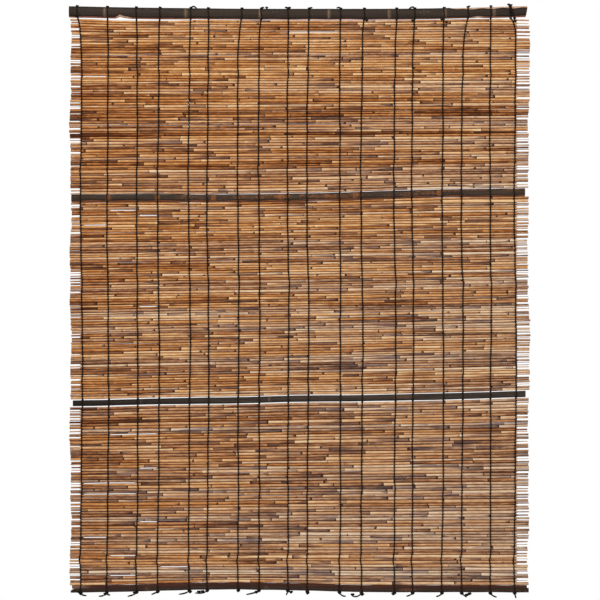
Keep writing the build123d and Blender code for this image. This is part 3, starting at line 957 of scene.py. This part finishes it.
def lathGrid(name, x, fromNodes, left, right):
    # The arc of a culm's wall, carried along the blind: outer face, lower cut, inner face and upper cut, with
    # a ring at each node
    size = laths[name]
    row, hh, radius = size["row"], size["height"] / 2, size["radius"]
    upper, lower, bitten = lathEdges(size, x, left, right)
    bevelUp = np.interp(x, *size["upper"]) * (1 + 0.25 * np.sin(x / 6.3))
    bevelLow = np.interp(x, *size["lower"]) * (1 + 0.2 * np.sin(x / 11.0)) + 0.8 * bitten
    ring, swell = np.exp(-(fromNodes / 1.4) ** 2), np.exp(-(fromNodes / 7) ** 2)
    rise = (lath["ringHeight"] * ring + lath["swellHeight"] * swell).sum(1)
    hollow = lath["hollow"] * np.exp(-(fromNodes / size["ringWidth"]) ** 4).max(1)
    v = np.array(lath["across"])
    centre = radius - (lath["edge"] + radius - math.sqrt(radius ** 2 - hh ** 2))
    ratio = (radius - size["wall"]) / radius
    # A bevelled edge keeps the full height at the inner face, where a square one narrows towards the centre
    innerTop = upper * (ratio + (1 - ratio) * np.clip(bevelUp / lath["square"], 0, 1))
    innerLow = lower * (ratio + (1 - ratio) * np.clip(bevelLow / lath["square"], 0, 1))

    def face(r, top, low):
        z = top[:, None] + (low - top)[:, None] * v
        y = centre - np.sqrt(r[:, None] ** 2 - z ** 2)
        return np.stack((np.broadcast_to(x[:, None], z.shape), y, z), -1)

    outside = face(radius + rise + 0.06 * np.sin(x / 5.3), upper - bevelUp, lower + bevelLow)
    inside = face(radius - size["wall"] - hollow, innerTop, innerLow)[:, ::-1]
    steps = np.array(lath["cutSteps"])[:, None]
    low = outside[:, -1:] + (inside[:, :1] - outside[:, -1:]) * steps
    high = inside[:, -1:] + (outside[:, :1] - inside[:, -1:]) * steps
    grid = np.concatenate((outside, low, inside, high), 1)
    shift = size["slant"] * np.clip((hh - grid[..., 2]) / (2 * hh), 0, 1)
    grid[..., 0] -= shift * smooth((grid[..., 0] - right + 30) / 30)
    middle = (grooveBase[row] + grooveBase[row + 1]) / 2
    if name == "bottom":
        middle = grooveBase[row + 1] + blind["gap"] / 2 + hh    # the edge lath shares its room
    grid[..., 2] += middle + grooveSlope[row] * grid[..., 0] + bow(row, grid[..., 0])
    # The back slopes away from the groove where the blind bends, as that of the reeds does
    room = blind["lean"] * np.maximum(grid[..., 1], 0)
    if name == "top":
        grid[..., 2] = np.maximum(grid[..., 2], grooveHeight(row + 1, grid[..., 0]) + room)
    elif name != "bottom":
        grid[..., 2] = np.minimum(grid[..., 2], grooveHeight(row, grid[..., 0]) - room)
    return grid, bitten


def lathLooks(size, x, fromNodes, bitten, around):
    # What the material reads: the front's skin, rings, worn places and shade, and the cut and inner faces
    v, front = np.array(lath["across"]), len(lath["across"])
    keys = ("cut", "under", "ring", "line", "worn", "shade")
    looks = {key: np.zeros((len(x), around)) for key in keys}
    looks["cut"][:, front:] = 1
    looks["cut"][:, front:front + 4] = np.clip(bitten * 2, 0, 1)[:, None]
    looks["under"][:, front:front + 4] = 1
    looks["under"][[0, -1]] = 0.8
    looks["ring"][:, :front] = np.exp(-(fromNodes / size["ringWidth"]) ** 4).max(1)[:, None]
    looks["line"][:, :front] = 0.8 * np.exp(-((fromNodes - 0.9) / 0.45) ** 2).max(1)[:, None]
    # Worn places reach from the upper edge down to their own share of the height
    for start, stop, strength, low in size["worn"]:
        place = strength * bump(x, start, stop, lath["wornFade"])[:, None]
        looks["worn"][:, :front] += place * smooth((low + 0.1 - v) / 0.2)
    # Painted shade towards the upper and lower edges of the face, as on a round culm lit from the front, with
    # the listed dark stretches on top
    edges = 0.7 * smooth((np.abs(2 * v - 1) - 0.4) / 0.6)
    looks["shade"][:, :front] = edges + np.interp(x, *size["dark"])[:, None]
    return looks


def lathPiece(name):
    # Rings closer together at the nodes and the ends, joined by quads and closed by a flat face at each end
    size = laths[name]
    left, right = -half + size["insets"][0], half - size["insets"][1]
    nodes = left + np.array(size["nodes"]) * (right - left)
    near = (nodes[:, None] + np.array(lath["aboutNode"])).ravel()
    x = np.sort(np.concatenate((np.linspace(left, right, lath["rings"]), near, (left + 0.5, right - 0.5))))
    fromNodes = x[:, None] - nodes
    grid, bitten = lathGrid(name, x, fromNodes, left, right)
    columns, around = grid.shape[:2]
    i, j = np.meshgrid(np.arange(columns - 1), np.arange(around), indexing="ij")
    after = (j + 1) % around
    quads = np.stack((i * around + after, (i + 1) * around + after, (i + 1) * around + j, i * around + j), -1)
    faces = quads.reshape(-1, 4).tolist()
    faces.append(list(range(around)))
    faces.append(list(range((columns - 1) * around, columns * around))[::-1])
    looks = lathLooks(size, x, fromNodes, bitten, around)
    makePiece(f"{name}_batten_bamboo", grid.reshape(-1, 3), faces, looks, bambooMaterial(name),
              f"{name}_batten")


for name in laths:
    lathPiece(name)

edgeLath = {
    "height": 6.2, "thickness": 3.4, "insets": (6.0, 8.0), "place": -0.6,
    "roundness": 0.55, "rings": 150, "sides": 14,
}


def edgePiece():
    # A bar whose section is a rounded box, as powers of a sine and a cosine, a little uneven along its length
    size = edgeLath
    left, right = -half + size["insets"][0], half - size["insets"][1]
    x = np.linspace(left, right, size["rings"])[:, None]
    a = (np.arange(size["sides"]) + 0.5) * 2 * np.pi / size["sides"]
    across, along = np.cos(a), np.sin(a)
    y = -np.sign(across) * np.abs(across) ** size["roundness"] * size["thickness"] / 2 + size["place"]
    z = np.sign(along) * np.abs(along) ** size["roundness"] * size["height"] / 2
    uneven = 1 + 0.07 * np.sin(x / 23) + 0.05 * np.sin(x / 7.1)
    middle = grooveBase[-2] - blind["gap"] / 2 - size["height"] / 2 + bow(rowCount, x)
    grid = np.stack(np.broadcast_arrays(x, y * uneven, middle + z * uneven), -1)
    poles = np.array(((left, 0, middle[0, 0]), (right, 0, middle[-1, 0])))
    points = np.concatenate((grid.reshape(-1, 3), poles))
    looks = {key: np.zeros(len(points)) for key in ("under", "ring", "line", "worn", "shade")}
    pale = 0.7 * smooth((left + 40 - x) / 25)
    looks["cut"] = np.concatenate((np.broadcast_to(pale, grid.shape[:2]).ravel(), (1, 1)))
    faces = tubeFaces(1, size["rings"], size["sides"])
    makePiece("edge_lath_bamboo", points, faces, looks, bambooMaterial("edge"), "edge_lath")


edgePiece()
print("battens made")

# Floor, light and camera, in metres
studio = {
    "floor": -1.32, "back": 1.0, "reach": 6.0, "grey": (0.86, 0.86, 0.86, 1), "world": 0.6,
    "lamps": {"key": (44.0, 1.6, (-0.7, -2.2, 1.5)), "fill": (13.0, 2.4, (1.6, -2.4, -0.4))},
    "aim": (0, 0, -0.55),
    "lens": 100.0, "film": 36.0,
    "seen": 1.143,      # width of the view where the blind hangs
    "eye": -0.5467,     # height of the camera
}
white = (1, 1, 1, 1)


def seenDirectly(tree):
    # 1 on camera, glossy and transmission rays
    path = node(tree, "ShaderNodeLightPath")
    both = calculate(tree, "MAXIMUM", path.outputs["Is Camera Ray"], path.outputs["Is Glossy Ray"])
    return calculate(tree, "MAXIMUM", both, path.outputs["Is Transmission Ray"])


def paleFloor():
    mesh = bpy.data.meshes.new("floor")
    e, back, z = studio["reach"], studio["back"], studio["floor"]
    mesh.from_pydata([(-e, -e, z), (e, -e, z), (e, back, z), (-e, back, z)], [], [(0, 1, 2, 3)])
    floor = bpy.data.objects.new("floor", mesh)
    bpy.context.scene.collection.objects.link(floor)
    made, tree, shader = newMaterial("paleFloor")
    shader.inputs["Base Color"].default_value = studio["grey"]
    shader.inputs["Roughness"].default_value = 0.9
    glow = node(tree, "ShaderNodeEmission", {"Color": white, "Strength": 1.0})
    share = times(tree, seenDirectly(tree), 0.8)
    blend = node(tree, "ShaderNodeMixShader", {0: share, 1: shader.outputs[0], 2: glow.outputs[0]})
    tree.links.new(blend.outputs[0], tree.nodes["Material Output"].inputs["Surface"])
    mesh.materials.append(made)


def whiteWorld():
    world = bpy.data.worlds.new("studio")
    bpy.context.scene.world = world
    world.use_nodes = True
    tree = world.node_tree
    tree.nodes.clear()
    plain = node(tree, "ShaderNodeBackground", {"Color": white, "Strength": studio["world"]})
    bright = node(tree, "ShaderNodeBackground", {"Color": white, "Strength": 1.0})
    inputs = {0: seenDirectly(tree), 1: plain.outputs[0], 2: bright.outputs[0]}
    blend = node(tree, "ShaderNodeMixShader", inputs)
    node(tree, "ShaderNodeOutputWorld", {"Surface": blend.outputs[0]})


def softLamps():
    # Area lamps that face the middle of the blind, each with its power, size and place
    for name, (energy, size, place) in studio["lamps"].items():
        lamp = bpy.data.lights.new(name, "AREA")
        lamp.energy, lamp.size = energy, size
        holder = bpy.data.objects.new(name, lamp)
        holder.location = place
        aim = Vector(studio["aim"]) - holder.location
        holder.rotation_euler = aim.to_track_quat("-Z", "Y").to_euler()
        bpy.context.scene.collection.objects.link(holder)


def frontCamera():
    camera = bpy.data.cameras.new("camera")
    camera.lens, camera.sensor_width = studio["lens"], studio["film"]
    view = bpy.data.objects.new("camera", camera)
    view.location = (0.0, -studio["seen"] * studio["lens"] / studio["film"], studio["eye"])
    view.rotation_euler = (math.pi / 2, 0, 0)
    bpy.context.scene.collection.objects.link(view)
    bpy.context.scene.camera = view


paleFloor()
whiteWorld()
softLamps()
frontCamera()
bpy.context.scene.view_settings.view_transform = "Standard"
print("studio ready")
